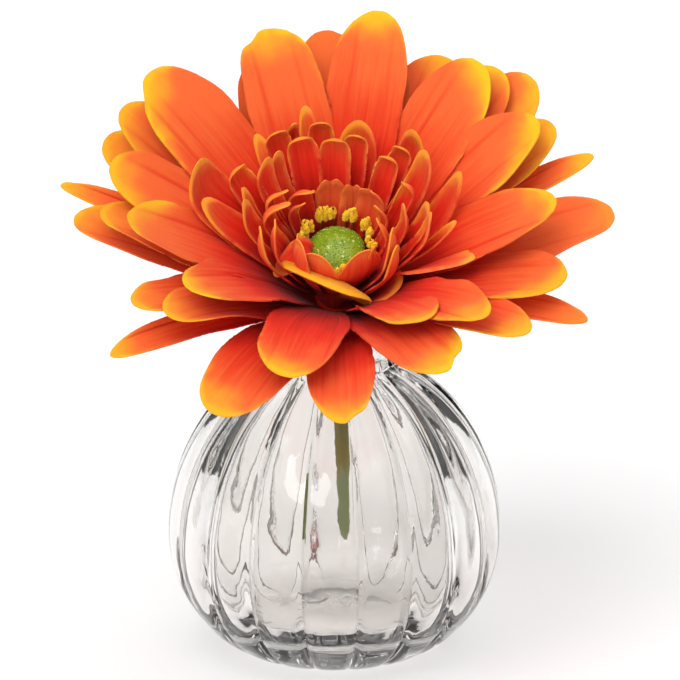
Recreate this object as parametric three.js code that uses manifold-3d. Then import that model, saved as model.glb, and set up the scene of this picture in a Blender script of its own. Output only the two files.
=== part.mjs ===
// One fabric gerbera standing in a pressed-glass ball vase. Millimetres, +Z up.
// The origin is the centre of the vase's flat base, and the flower leans towards -Y.
// The head is drawn in its own frame: hub at the origin, stem axis along +Z, back petals along +Y.
import * as THREE from "three";
import { mergeVertices } from "three/addons/utils/BufferGeometryUtils.js";
import Module from "manifold-3d";

const wasm = await Module();
wasm.setup();

// Driving dimensions of the vase
const VASE_RADIUS = 40;
const VASE_HEIGHT = 80;
const WIDEST_HEIGHT = 29.2;
const BASE_RADIUS = 19;
const NECK_RADIUS = 14.4;
const NECK_HEIGHT = 73.5;
const LIP_RADIUS = 16;
const LIP_HEIGHT = 78.4;
const MOUTH_RADIUS = 11.6;
const BORE_RADIUS = 11;
const WALL = 4;
const FLOOR_THICKNESS = 9.5;
const RIB_COUNT = 18;
const RIB_DEPTH = 1.6;
const FIRST_CREASE = 8.5;

// Driving dimensions of the flower
const HUB = new THREE.Vector3(0.5, -15, 89);
const LEAN = 32.5;
const STEM_RADIUS = 1.6;
const HOLE_RADIUS = 1.9;
const DISC_PITCH = 1.6;
const DISC_THICKNESS = 1.2;
const SHEET = 0.66;
const RAY_START = 5.4;
const RAY_ROOT = 3.8;
const CREASE = 0.42;
const EYE_RADIUS = 6.6;
const EYE_RIM = 19.4;
const EYE_HEIGHT = 3.5;
const SEAT = 0.3;
const STAMEN_COUNT = 20;

// Long petals as they lie, one row for each: azimuth, rise above the disc, length, width.
// Azimuth 0 points to +X and 90 to the back. A fifth number is extra arch.
const LOWER_RAYS = [
  [2, 27, 66, 17],
  [20, 26, 65, 10],
  [42, 30, 66, 20],
  [64, 28, 61, 20],
  [89, 31, 61, 18],
  [131, 30, 63, 17],
  [153, 27, 62, 19],
  [168, 24, 66, 8],
  [180, 29, 63, 15],
  [214, 22, 62, 8, 10],
  [244, 24, 61, 20],
  [273, 27, 61, 17],
  [335, 24, 64, 11, 10],
];
const MIDDLE_RAYS = [
  [27, 32, 61, 16],
  [49, 33, 62, 20],
  [77, 33, 56, 17],
  [112, 33, 56, 17],
  [148, 32, 63, 18],
  [182, 34, 59, 15],
  [210, 32, 57, 13],
  [219, 35, 54, 15],
  [297, 32, 57, 20],
  [321, 31, 60, 18],
  [340, 31, 59, 19],
];
const UPPER_RAYS = [
  [356, 39, 58, 18],
  [27, 38, 59, 20],
  [50, 38, 60, 20],
  [82, 38, 64, 21],
  [108, 38, 61, 19],
  [141, 37, 64, 21],
  [170, 36, 59, 19],
  [191, 41, 57, 19],
  [219, 42, 51, 17, -4],
  [259, 33, 55, 19, -4],
  [305, 40, 48, 16, -8],
  [315, 38, 56, 17],
];

// One petal of the outermost ring stands at the front with its tip folded outwards. The next ring has
// no petal behind it.
const FOLDED_PETAL = { azimuth: 262, rise: 60, arch: -26, length: 26, width: 14, fold: 70, twist: -6 };
const FOLDED_HALF_ARC = 11;

// Rings of short petals, from the outside in. Each fills an arc from its first azimuth, rises above the
// disc and bends inwards. At the front the petals are shorter, steeper and curl further in.
const FRONT_RISE = 4;
const FRONT_BEND = 16;
const FRONT_SHORTENING = 0.14;
const FLORET_RINGS = [
  {
    name: "floret_outer", count: 9, first: 4, arc: 166,
    rise: 48, bend: -4, length: 40, width: 8.5, start: 4.8, folded: true,
  },
  {
    name: "floret_second", count: 14, first: 4, arc: 360,
    rise: 57, bend: 19, length: 37, width: 9.4, start: 4.2, gap: FOLDED_HALF_ARC,
  },
  {
    name: "floret_third", count: 14, first: 14, arc: 360,
    rise: 61.5, bend: 28, length: 31, width: 8.4, start: 3.6,
  },
  {
    name: "floret_inner", count: 12, first: 0, arc: 360,
    rise: 67, bend: 36, length: 24, width: 6.8, start: 3.4,
  },
];

const degrees = THREE.MathUtils.degToRad;
const mix = THREE.MathUtils.lerp;

// A repeatable scatter between -1 and 1
function scatter(index, salt) {
  const wave = Math.sin(index * 12.9898 + salt * 78.233) * 43758.5453;
  return 2 * (wave - Math.floor(wave)) - 1;
}

// A closed mesh as a solid for joining and cutting, with its faces turned outwards
function solidOf(geometry) {
  geometry.deleteAttribute("normal");
  geometry.deleteAttribute("uv");
  const merged = mergeVertices(geometry, 1e-4);
  const vertProperties = new Float32Array(merged.attributes.position.array);
  const kept = [];
  for (let i = 0; i < merged.index.count; i += 3) {
    const [a, b, c] = merged.index.array.slice(i, i + 3);
    if (a !== b && b !== c && c !== a) kept.push(a, b, c);
  }
  const triVerts = new Uint32Array(kept);
  const solid = new wasm.Manifold(new wasm.Mesh({ numProp: 3, vertProperties, triVerts }));
  if (solid.volume() > 0) return solid;
  triVerts.reverse();
  return new wasm.Manifold(new wasm.Mesh({ numProp: 3, vertProperties, triVerts }));
}

function geometryOf(solid) {
  const mesh = solid.getMesh();
  const geometry = new THREE.BufferGeometry();
  geometry.setAttribute("position", new THREE.BufferAttribute(mesh.vertProperties, 3));
  geometry.setIndex(new THREE.BufferAttribute(mesh.triVerts, 1));
  geometry.computeVertexNormals();
  return geometry;
}

// Solids joined into one body; pinhole pockets left shut in between them are filled
function join(solids) {
  const whole = solids.reduce((joined, next) => joined.add(next));
  return whole.decompose().reduce((body, shell) => (shell.volume() > body.volume() ? shell : body));
}

function meshOf(name, solid, color, roughness) {
  const material = new THREE.MeshStandardMaterial({ color, roughness, metalness: 0 });
  const mesh = new THREE.Mesh(geometryOf(solid), material);
  mesh.name = name;
  return mesh;
}

// A solid of revolution about Z from [radius, height] points
function turned(profile, segments) {
  const points = profile.map(([radius, height]) => new THREE.Vector2(radius, height));
  return solidOf(new THREE.LatheGeometry(points, segments).rotateX(Math.PI / 2));
}

// A closed skin over a grid of rows; each row is a closed ring, and a centre point caps each end
function ringedSolid(rings, firstCentre, lastCentre) {
  const count = rings[0].length;
  const positions = rings.flat().flatMap((point) => [point.x, point.y, point.z]);
  positions.push(firstCentre.x, firstCentre.y, firstCentre.z);
  positions.push(lastCentre.x, lastCentre.y, lastCentre.z);
  const first = rings.length * count;
  const indices = [];
  for (let i = 0; i < count; i++) {
    const next = (i + 1) % count;
    indices.push(first, next, i);
    for (let j = 0; j + 1 < rings.length; j++) {
      const low = j * count;
      const high = low + count;
      indices.push(low + i, low + next, high + next);
      indices.push(low + i, high + next, high + i);
    }
    const top = (rings.length - 1) * count;
    indices.push(first + 1, top + i, top + next);
  }
  const geometry = new THREE.BufferGeometry();
  geometry.setAttribute("position", new THREE.Float32BufferAttribute(positions, 3));
  geometry.setIndex(indices);
  return solidOf(geometry);
}

// The vase's outer outline at a rib's crest, with how much of the rib depth stands at that height
function vaseOutline() {
  const outline = [];
  for (let i = 0; i <= 5; i++) {
    const angle = (i / 5) * (Math.PI / 2);
    const radius = mix(BASE_RADIUS, VASE_RADIUS, Math.sin(angle));
    const height = mix(0, WIDEST_HEIGHT, (1 - Math.cos(angle)) ** 0.9);
    outline.push({ radius, height, share: i === 0 ? 0.5 : 1 });
  }
  const shoulderRise = 44.8;
  for (let i = 1; i <= 5; i++) {
    const height = WIDEST_HEIGHT + shoulderRise * Math.sin((i / 5) * degrees(61));
    const radius = VASE_RADIUS * Math.sqrt(1 - ((height - WIDEST_HEIGHT) / shoulderRise) ** 2);
    outline.push({ radius, height, share: 1 - 0.35 * (i / 5) ** 3 });
  }
  outline.push({ radius: 15.6, height: 71, share: 0.3 });
  outline.push({ radius: NECK_RADIUS, height: NECK_HEIGHT, share: 0.1 });
  outline.push({ radius: 15.1, height: 76.4, share: 0 });
  outline.push({ radius: LIP_RADIUS, height: LIP_HEIGHT, share: 0 });
  outline.push({ radius: 15.3, height: 79.6, share: 0 });
  outline.push({ radius: 14, height: VASE_HEIGHT, share: 0 });
  return outline;
}

// Each rib is a convex lobe that meets the next in a sharp crease
function ribbedRing({ radius, height, share }) {
  const perRib = 3;
  const ring = [];
  for (let i = 0; i < RIB_COUNT * perRib; i++) {
    const across = (2 * (i % perRib)) / perRib - 1;
    const angle = degrees(FIRST_CREASE - 90 + (360 * i) / (RIB_COUNT * perRib));
    const reach = radius - RIB_DEPTH * share * across ** 2 * (radius / VASE_RADIUS) ** 0.5;
    ring.push(new THREE.Vector3(reach * Math.cos(angle), reach * Math.sin(angle), height));
  }
  return ring;
}

function vaseSolid() {
  const rings = vaseOutline().map(ribbedRing);
  const body = ringedSolid(rings, new THREE.Vector3(0, 0, 0), new THREE.Vector3(0, 0, VASE_HEIGHT));
  const hollow = [[0, FLOOR_THICKNESS], [22, FLOOR_THICKNESS]];
  for (let i = 1; i <= 4; i++) {
    const angle = (i / 4) * (Math.PI / 2);
    const radius = mix(22, VASE_RADIUS - WALL, Math.sin(angle));
    const height = mix(FLOOR_THICKNESS, WIDEST_HEIGHT, 1 - Math.cos(angle));
    hollow.push([radius, height]);
  }
  const shoulderRise = 41.5;
  for (let i = 1; i <= 5; i++) {
    const height = WIDEST_HEIGHT + shoulderRise * Math.sin((i / 5) * degrees(66));
    const radius = (VASE_RADIUS - WALL) * Math.sqrt(1 - ((height - WIDEST_HEIGHT) / shoulderRise) ** 2);
    hollow.push([radius, height]);
  }
  hollow.push([BORE_RADIUS + 0.6, 69]);
  hollow.push([BORE_RADIUS, 72]);
  hollow.push([BORE_RADIUS, 77]);
  hollow.push([MOUTH_RADIUS, VASE_HEIGHT]);
  hollow.push([MOUTH_RADIUS, VASE_HEIGHT + 1]);
  hollow.push([0, VASE_HEIGHT + 1]);
  return body.subtract(turned(hollow, 28));
}

// Half the width of a petal along its length: a narrow root, widest past the middle, and a round tip
function halfWidth(petal, along) {
  const rise = Math.sin((Math.PI / 2) * Math.min(along / petal.widest, 1));
  const past = Math.max(0, (along - petal.widest) / (1 - petal.widest));
  return (petal.width / 2) * mix(petal.root, 1, rise) * Math.sqrt(1 - past ** petal.blunt);
}

// The slope of a petal's midline, in degrees above the disc
function slopeAt(petal, along) {
  const folded = THREE.MathUtils.smoothstep(along, 0.72, 0.9);
  return petal.rise + petal.arch * (0.5 - along) - petal.fold * folded;
}

// One unit vector turned towards another, square to it
function turnedTowards(from, to, angle) {
  return from.clone().multiplyScalar(Math.cos(angle)).addScaledVector(to, Math.sin(angle));
}

// A petal as a sheet of even thickness. It wraps around the cone of its disc near the root and is
// cupped further out, and two pressed creases run along it.
function petalSolid(petal, rows, columns) {
  const turn = degrees(petal.azimuth);
  const outward = new THREE.Vector3(Math.cos(turn), Math.sin(turn), 0);
  const sideways = new THREE.Vector3(-Math.sin(turn), Math.cos(turn), 0);
  const upward = new THREE.Vector3(0, 0, 1);
  const faces = { top: [], bottom: [] };
  let radius = petal.start;
  let height = petal.height;
  let last = 0;
  for (const along of rows) {
    const step = petal.length * (Math.max(along, 0) - last);
    const middle = degrees(slopeAt(petal, (Math.max(along, 0) + last) / 2));
    radius += step * Math.cos(middle);
    height += step * Math.sin(middle);
    last = Math.max(along, 0);
    const isRoot = along < 0;
    const slope = isRoot ? 0 : degrees(slopeAt(petal, along)) * (along === 0 ? 0.5 : 1);
    const centre = outward.clone().multiplyScalar(isRoot ? petal.sunk : radius);
    centre.addScaledVector(upward, height);
    const lifted = turnedTowards(upward, outward, -slope);
    const roll = degrees(petal.twist * last);
    const across = turnedTowards(sideways, lifted, roll);
    const normal = turnedTowards(lifted, sideways, -roll);
    const free = THREE.MathUtils.smoothstep(last, 0, 0.4);
    const cupping = (8 * petal.cup) / petal.width ** 2;
    const curvature = Math.max(mix(Math.sin(slope) / radius, cupping, free), 1e-4);
    for (const column of columns) {
      const offset = column * halfWidth(petal, last);
      const bend = offset * curvature;
      const pressed = Math.abs(column) === CREASE ? petal.crease * Math.sin(Math.PI * last) : 0;
      const point = centre.clone().addScaledVector(across, Math.sin(bend) / curvature);
      point.addScaledVector(normal, (1 - Math.cos(bend)) / curvature - pressed);
      const skin = turnedTowards(normal, across, -bend);
      faces.top.push(point.clone().addScaledVector(skin, SHEET / 2));
      faces.bottom.push(point.clone().addScaledVector(skin, -SHEET / 2));
    }
  }
  return sheetSolid(faces, rows.length, columns.length);
}

// Two matching grids closed along their rim
function sheetSolid(faces, rowCount, columnCount) {
  const positions = [...faces.top, ...faces.bottom].flatMap((point) => [point.x, point.y, point.z]);
  const under = rowCount * columnCount;
  const indices = [];
  const wall = (a, b) => indices.push(a, a + under, b + under, a, b + under, b);
  for (let j = 0; j + 1 < rowCount; j++) {
    for (let i = 0; i + 1 < columnCount; i++) {
      const a = j * columnCount + i;
      const b = a + columnCount;
      indices.push(a, b, b + 1, a, b + 1, a + 1);
      indices.push(a + under, b + 1 + under, b + under, a + under, a + 1 + under, b + 1 + under);
    }
    wall(j * columnCount, (j + 1) * columnCount);
    wall((j + 2) * columnCount - 1, (j + 1) * columnCount - 1);
  }
  for (let i = 0; i + 1 < columnCount; i++) {
    wall(i + 1, i);
    wall(under - columnCount + i, under - columnCount + i + 1);
  }
  const geometry = new THREE.BufferGeometry();
  geometry.setAttribute("position", new THREE.Float32BufferAttribute(positions, 3));
  geometry.setIndex(indices);
  return solidOf(geometry);
}

// The middle of a fabric disc, with the hole that the peg goes through
function hubDisc(height, radius) {
  const low = height - DISC_THICKNESS / 2;
  const high = height + DISC_THICKNESS / 2;
  const inner = [HOLE_RADIUS, low];
  return turned([inner, [radius, low], [radius, high], [HOLE_RADIUS, high], inner], 16);
}

// A disc of long petals. Those at the front arch over further than those at the back.
function raySolid(list, level) {
  const height = level * DISC_PITCH;
  const rows = [-1, 0, 0.22, 0.46, 0.7, 0.9, 0.985];
  const columns = [-1, -CREASE, CREASE, 1];
  const roots = { start: RAY_START, sunk: RAY_ROOT, height, root: 0.14 };
  const shape = { ...roots, widest: 0.66, blunt: 2.6, cup: 1.6, crease: 0.5, fold: 0, twist: 0 };
  const petals = list.map(([azimuth, rise, length, width, extraArch = 0]) => {
    const arch = 20 + 30 * Math.max(0, -Math.sin(degrees(azimuth))) ** 2 + extraArch;
    return petalSolid({ ...shape, azimuth, rise, length, width, arch }, rows, columns);
  });
  return join([hubDisc(height, RAY_START - 0.5), ...petals]);
}

// A disc of short petals, spaced by rule with a little scatter
function floretSolid(ring, level) {
  const height = level * DISC_PITCH;
  const rows = [-1, 0, 0.35, 0.75, 0.97];
  const columns = [-1, 0, 1];
  const shape = { height, root: 0.2, widest: 0.6, blunt: 2.4, cup: 0.9, crease: 0, fold: 0, twist: 0 };
  const petals = [];
  for (let i = 0; i < ring.count; i++) {
    const gaps = ring.arc < 360 ? ring.count - 1 : ring.count;
    const azimuth = ring.first + (ring.arc * (i + 0.2 * scatter(i, level))) / gaps;
    if (Math.abs(azimuth - FOLDED_PETAL.azimuth) < ring.gap) continue;
    const front = Math.max(0, -Math.sin(degrees(azimuth)));
    petals.push(petalSolid({
      ...shape,
      azimuth,
      start: ring.start,
      sunk: ring.start - 1,
      rise: ring.rise + (i % 2 ? 1.5 : -1.5) + 0.5 * scatter(i, level + 10) + FRONT_RISE * front,
      arch: -ring.bend - FRONT_BEND * front,
      length: ring.length * (1 + 0.06 * scatter(i, level + 20) - FRONT_SHORTENING * front),
      width: ring.width * (1 + 0.1 * scatter(i, level + 30)),
    }, rows, columns));
  }
  if (ring.folded) {
    const foldRows = [-1, 0, 0.35, 0.7, 0.81, 0.92, 0.985];
    const folded = { ...shape, ...FOLDED_PETAL, start: ring.start, sunk: ring.start - 1 };
    petals.push(petalSolid(folded, foldRows, [-1, -CREASE, CREASE, 1]));
  }
  return join([hubDisc(height, ring.start - 0.2), ...petals]);
}

// One stamen: a thin stalk that leans out past the eye and swells into a tip
function stamenSolid(index, height) {
  const turn = degrees((360 * (index + 0.3 * scatter(index, 3))) / STAMEN_COUNT);
  const reach = 1 + 0.03 * scatter(index, 4);
  const stations = [
    { radius: 2.6, height, half: 0.32 },
    { radius: 7.3, height: 18.6, half: 0.35 },
    { radius: 7.9, height: 22.6, half: 0.7 },
    { radius: 8.1 * reach, height: 25.4 + scatter(index, 5), half: 0.5 },
  ];
  const corners = [[-1, -1], [1, -1], [1, 1], [-1, 1]];
  const rings = stations.map((station) => corners.map(([outwards, sideways]) => {
    const corner = new THREE.Vector3(station.radius + outwards * station.half, sideways * station.half, 0);
    return corner.applyAxisAngle(new THREE.Vector3(0, 0, 1), turn).setZ(station.height);
  }));
  const middle = (ring) => ring[0].clone().add(ring[2]).multiplyScalar(0.5);
  return ringedSolid(rings, middle(rings[0]), middle(rings.at(-1)));
}

// The eye: a pebbled dome on a short socket that sits on the peg
function eyeSolid(foot) {
  const rows = 5;
  const sides = 24;
  const ringAt = (radius, height, pebble, row) => Array.from({ length: sides }, (_, i) => {
    const angle = (2 * Math.PI * i) / sides;
    const raised = pebble * ((i + row) % 2);
    const reach = radius * (1 + raised / EYE_RADIUS);
    return new THREE.Vector3(reach * Math.cos(angle), reach * Math.sin(angle), height + raised);
  });
  const socketRadius = 2.6;
  const rings = [ringAt(socketRadius, foot, 0, 0), ringAt(socketRadius, foot + 2, 0, 0)];
  rings.push(ringAt(EYE_RADIUS - 1, EYE_RIM - 1.4, 0, 0));
  for (let row = 0; row < rows; row++) {
    const angle = (row / rows) * (Math.PI / 2);
    rings.push(ringAt(EYE_RADIUS * Math.cos(angle), EYE_RIM + EYE_HEIGHT * Math.sin(angle), 0.35, row));
  }
  const top = new THREE.Vector3(0, 0, EYE_RIM + EYE_HEIGHT);
  const whole = ringedSolid(rings, new THREE.Vector3(0, 0, foot), top);
  const socket = [[0, foot - 1], [HOLE_RADIUS, foot - 1], [HOLE_RADIUS, EYE_RIM - 3], [0, EYE_RIM - 3]];
  return whole.subtract(turned(socket, 16));
}

function calyxSolid() {
  const top = -DISC_THICKNESS / 2 - SEAT;
  const profile = [[HOLE_RADIUS, top], [5.4, top], [5.8, top - 0.8], [4.6, top - 3.4], [2.8, top - 6]];
  return turned([...profile, [HOLE_RADIUS, top - 6], [HOLE_RADIUS, top]], 16);
}

// The stem follows the head's axis through the discs, leans on the mouth of the vase, and stands on the
// vase's inner wall at the back
function stemSolid() {
  const axis = new THREE.Vector3(0, -Math.sin(degrees(LEAN)), Math.cos(degrees(LEAN)));
  const onAxis = (reach) => HUB.clone().addScaledVector(axis, reach);
  const route = new THREE.CatmullRomCurve3([
    onAxis(15.5),
    onAxis(6),
    onAxis(0),
    onAxis(-9),
    new THREE.Vector3(1.6, 10.2, 48),
    new THREE.Vector3(3, 30.2, 15.2),
  ], false, "centripetal");
  const section = new THREE.Shape();
  section.absarc(0, 0, STEM_RADIUS, 0, 2 * Math.PI);
  const options = { steps: 14, curveSegments: 5, extrudePath: route };
  return solidOf(new THREE.ExtrudeGeometry(section, options));
}

const head = new THREE.Group();
head.position.copy(HUB);
head.rotation.x = degrees(LEAN);
head.add(meshOf("calyx", calyxSolid(), 0x5f7d33, 0.6));
head.add(meshOf("ray_lower", raySolid(LOWER_RAYS, 0), 0xe2552a, 0.85));
head.add(meshOf("ray_middle", raySolid(MIDDLE_RAYS, 1), 0xe8602c, 0.85));
head.add(meshOf("ray_upper", raySolid(UPPER_RAYS, 2), 0xee6c30, 0.85));
FLORET_RINGS.forEach((ring, index) => {
  head.add(meshOf(ring.name, floretSolid(ring, index + 3), 0xd9442a, 0.85));
});
const stamenHeight = 7 * DISC_PITCH;
const stamens = Array.from({ length: STAMEN_COUNT }, (_, i) => stamenSolid(i, stamenHeight));
head.add(meshOf("stamens", join([hubDisc(stamenHeight, 3), ...stamens]), 0xe3bb1e, 0.8));
head.add(meshOf("eye", eyeSolid(stamenHeight + DISC_THICKNESS / 2 + SEAT), 0x5f9a2a, 0.5));

const flower = new THREE.Group();
flower.add(meshOf("vase", vaseSolid(), 0xdcdcd8, 0.05));
flower.add(meshOf("stem", stemSolid(), 0x6b7a34, 0.55));
flower.add(head);

export default flower;
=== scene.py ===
"""A fabric gerbera that stands in a pressed-glass ball vase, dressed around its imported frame.

Every length is in millimetres until its mesh is made, and the frame is in metres. +Z is up and the
flower leans towards -Y, where the camera is.
"""

import math

import bpy
import numpy as np
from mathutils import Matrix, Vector


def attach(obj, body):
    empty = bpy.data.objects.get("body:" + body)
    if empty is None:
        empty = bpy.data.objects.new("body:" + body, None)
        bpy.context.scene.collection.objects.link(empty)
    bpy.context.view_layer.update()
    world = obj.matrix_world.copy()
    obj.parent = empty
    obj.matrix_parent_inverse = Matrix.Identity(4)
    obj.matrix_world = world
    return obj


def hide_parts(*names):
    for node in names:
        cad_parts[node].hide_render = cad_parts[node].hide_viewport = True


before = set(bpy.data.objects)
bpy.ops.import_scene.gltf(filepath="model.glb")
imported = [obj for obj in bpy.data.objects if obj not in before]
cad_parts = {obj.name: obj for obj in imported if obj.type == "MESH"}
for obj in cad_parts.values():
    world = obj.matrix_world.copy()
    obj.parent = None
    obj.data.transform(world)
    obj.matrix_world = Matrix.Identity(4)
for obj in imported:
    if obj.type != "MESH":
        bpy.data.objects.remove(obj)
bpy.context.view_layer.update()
MM = 0.001

# The camera is the photograph's: a long lens from a little above, square to the front of the vase.
CAMERA_REACH = 1200 * MM
CAMERA_RISE = math.radians(17)
CAMERA_AIM = Vector((1.31, 0, 75.9)) * MM
LENS = 267.35

camera = bpy.data.objects.new("camera", bpy.data.cameras.new("camera"))
bpy.context.scene.collection.objects.link(camera)
backwards = Vector((0, -math.cos(CAMERA_RISE), math.sin(CAMERA_RISE)))
camera.location = CAMERA_AIM + backwards * CAMERA_REACH
camera.rotation_euler = (-backwards).to_track_quat("-Z", "Y").to_euler()
camera.data.lens = LENS
camera.data.clip_start = 10 * MM
bpy.context.scene.camera = camera


# The vase is one piece of clear glass, pressed in a ribbed mould: a thick floor, a ball with 18 convex
# ribs that meet in creases, a narrow neck and a rolled lip. Its inner wall follows the ribs less deeply
# and is rippled from the press.
VASE_RADIUS = 40
VASE_HEIGHT = 80
WIDEST_HEIGHT = 29.2
BASE_RADIUS = 19
BASE_RECESS = 0.8
SHOULDER_RISE = 44.8
WALL = 4
FLOOR_THICKNESS = 9.5
FLOOR_RADIUS = 22
INNER_SHOULDER_RISE = 41.5
BORE_RADIUS = 11
RIB_COUNT = 18
RIB_DEPTH = 1.6
RIB_ROUND = 0.3
INNER_RIBS = 0.8
RIB_STEPS = 20
FIRST_CREASE = 8.5
GLASS_TINT = (0.92, 0.90, 0.88, 1)
GLASS_INDEX = 1.5


class Signal:
    """A socket that adds a Math node for each operator used on it."""

    def __init__(self, graph, socket):
        self.graph = graph
        self.socket = socket

    def math(self, operation, first, second):
        settings = {"operation": operation}
        return self.graph.node("ShaderNodeMath", settings, {0: first, 1: second})

    def __add__(self, other):
        return self.math("ADD", self, other)

    def __sub__(self, other):
        return self.math("SUBTRACT", self, other)

    def __rsub__(self, other):
        return self.math("SUBTRACT", other, self)

    def __mul__(self, other):
        return self.math("MULTIPLY", self, other)

    def __truediv__(self, other):
        return self.math("DIVIDE", self, other)

    def __abs__(self):
        return self.math("ABSOLUTE", self, 0)

    __radd__ = __add__
    __rmul__ = __mul__


class Graph:
    """A node tree, for a material or for a modifier."""

    def __init__(self, tree):
        self.tree = tree
        self.tree.nodes.clear()

    def node(self, kind, settings=None, inputs=None, output=0):
        """Adds a node, and gives one of its outputs."""
        made = self.tree.nodes.new(kind)
        for name, value in (settings or {}).items():
            if name == "stops":
                self.set_stops(made.color_ramp, value)
            else:
                setattr(made, name, value)
        for name, value in (inputs or {}).items():
            if isinstance(value, Signal):
                self.tree.links.new(value.socket, made.inputs[name])
            else:
                made.inputs[name].default_value = value
        return Signal(self, made.outputs[output]) if made.outputs else None

    @staticmethod
    def set_stops(ramp, stops):
        while len(ramp.elements) < len(stops):
            ramp.elements.new(0.5)
        for element, (position, colour) in zip(ramp.elements, stops):
            element.position = position
            element.color = colour

    def given(self, name):
        """An input of a modifier's tree."""
        return self.node("NodeGroupInput", output=name)

    def place(self):
        """Where a point of the surface lies, in metres."""
        return self.node("ShaderNodeTexCoord", output="Object")

    def bump(self, strength, depth, height):
        inputs = {"Strength": strength, "Distance": depth * MM, "Height": height}
        return self.node("ShaderNodeBump", {}, inputs)

    def attribute(self, name):
        return self.node("ShaderNodeAttribute", {"attribute_name": name}, output="Fac")

    def noise(self, place, scale, detail=2.0):
        inputs = {"Vector": place, "Scale": scale, "Detail": detail}
        return self.node("ShaderNodeTexNoise", {}, inputs, "Fac")

    def blend(self, factor, first, second):
        """One colour turning into another as the factor goes from 0 to 1."""
        inputs = {0: factor, 6: first, 7: second}
        return self.node("ShaderNodeMix", {"data_type": "RGBA"}, inputs, 2)

    def smooth(self, value, low, high):
        """0 below low, 1 above high, and a smooth step between them."""
        settings = {"interpolation_type": "SMOOTHSTEP"}
        inputs = {"Value": value, "From Min": low, "From Max": high}
        return self.node("ShaderNodeMapRange", settings, inputs)

    def finish(self, inputs):
        surface = self.node("ShaderNodeBsdfPrincipled", {}, inputs)
        self.node("ShaderNodeOutputMaterial", {}, {"Surface": surface})


def new_finish(name):
    """An empty node material and its graph."""
    material = bpy.data.materials.new(name)
    material.use_nodes = True
    return material, Graph(material.node_tree)


def add_piece(name, points, faces, material, values=None, crease_angle=180):
    """A mesh object from points in millimetres, with named values kept on its points."""
    mesh = bpy.data.meshes.new(name)
    mesh.from_pydata((np.asarray(points, float) * MM).tolist(), [], faces)
    for key, numbers in (values or {}).items():
        attribute = mesh.attributes.new(key, "FLOAT", "POINT")
        attribute.data.foreach_set("value", np.asarray(numbers, np.float32))
    mesh.materials.append(material)
    mesh.shade_smooth()
    if crease_angle < 180:
        mesh.set_sharp_from_angle(angle=math.radians(crease_angle))
    piece = bpy.data.objects.new(name, mesh)
    bpy.context.scene.collection.objects.link(piece)
    return piece


def stands_for(piece, node):
    """The piece takes the place of a node of the frame."""
    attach(piece, "root")
    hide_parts(node)


def smooth_route(points, steps):
    """A centripetal Catmull-Rom curve through the points."""
    points = np.asarray(points, float)
    ends = [2 * points[0] - points[1], 2 * points[-1] - points[-2]]
    knots = np.vstack([ends[0], points, ends[1]])
    route = []
    for i in range(1, len(knots) - 2):
        p0, p1, p2, p3 = knots[i - 1 : i + 3]
        t0 = 0.0
        t1 = t0 + np.linalg.norm(p1 - p0) ** 0.5
        t2 = t1 + np.linalg.norm(p2 - p1) ** 0.5
        t3 = t2 + np.linalg.norm(p3 - p2) ** 0.5
        for t in np.linspace(t1, t2, steps, endpoint=False):
            a1 = (t1 - t) / (t1 - t0) * p0 + (t - t0) / (t1 - t0) * p1
            a2 = (t2 - t) / (t2 - t1) * p1 + (t - t1) / (t2 - t1) * p2
            a3 = (t3 - t) / (t3 - t2) * p2 + (t - t2) / (t3 - t2) * p3
            b1 = (t2 - t) / (t2 - t0) * a1 + (t - t0) / (t2 - t0) * a2
            b2 = (t3 - t) / (t3 - t1) * a2 + (t - t1) / (t3 - t1) * a3
            route.append((t2 - t) / (t2 - t1) * b1 + (t - t1) / (t2 - t1) * b2)
    route.append(points[-1])
    return np.array(route)


def mix(first, second, share):
    return first + (second - first) * share


def outer_wall():
    """Rows of radius, height and share of the rib depth, from the foot up to the lip."""
    rows = [(4, BASE_RECESS, 0), (12, BASE_RECESS, 0), (14.5, 0.1, 0), (15.5, 0, 0.1), (18, 0, 0.4)]
    for turn in np.linspace(0.03, 1, 26):
        angle = turn * math.pi / 2
        radius = mix(BASE_RADIUS, VASE_RADIUS, math.sin(angle))
        rows.append((radius, WIDEST_HEIGHT * (1 - math.cos(angle)) ** 0.9, min(1, 0.5 + 5 * turn)))
    for turn in np.linspace(0, 1, 27)[1:]:
        angle = turn * math.radians(61)
        height = WIDEST_HEIGHT + SHOULDER_RISE * math.sin(angle)
        rows.append((VASE_RADIUS * math.cos(angle), height, 1 - 0.35 * turn**3))
    neck = [rows[-2], rows[-1], (15.6, 71, 0.3), (14.4, 73.5, 0.1), (15.1, 76.4, 0), (16, 78.4, 0)]
    neck += [(15.3, 79.6, 0), (14, VASE_HEIGHT, 0), (12.6, VASE_HEIGHT - 0.2, 0)]
    return rows[:-2] + [tuple(row) for row in smooth_route(neck, 5)]


def inner_wall():
    """Rows of radius, height and share, from the mouth down to the floor."""
    rows = [(11.8, 79.2, 0), (11.2, 77.6, 0), (BORE_RADIUS, 75, 0), (BORE_RADIUS, 72, 0)]
    rows += [(11.5, 69.4, 0), (12.6, 68.1, 0)]
    for turn in np.linspace(1, 0, 26):
        angle = turn * math.radians(66)
        height = WIDEST_HEIGHT + INNER_SHOULDER_RISE * math.sin(angle)
        rows.append(((VASE_RADIUS - WALL) * math.cos(angle), height, INNER_RIBS))
    for turn in np.linspace(1, 0, 20)[1:]:
        angle = turn * math.pi / 2
        radius = mix(FLOOR_RADIUS, VASE_RADIUS - WALL, math.sin(angle))
        height = mix(FLOOR_THICKNESS, WIDEST_HEIGHT, 1 - math.cos(angle))
        rows.append((radius, height, INNER_RIBS * turn))
    return rows + [(radius, FLOOR_THICKNESS, 0) for radius in np.linspace(FLOOR_RADIUS, 0, 12)[1:-1]]


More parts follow.
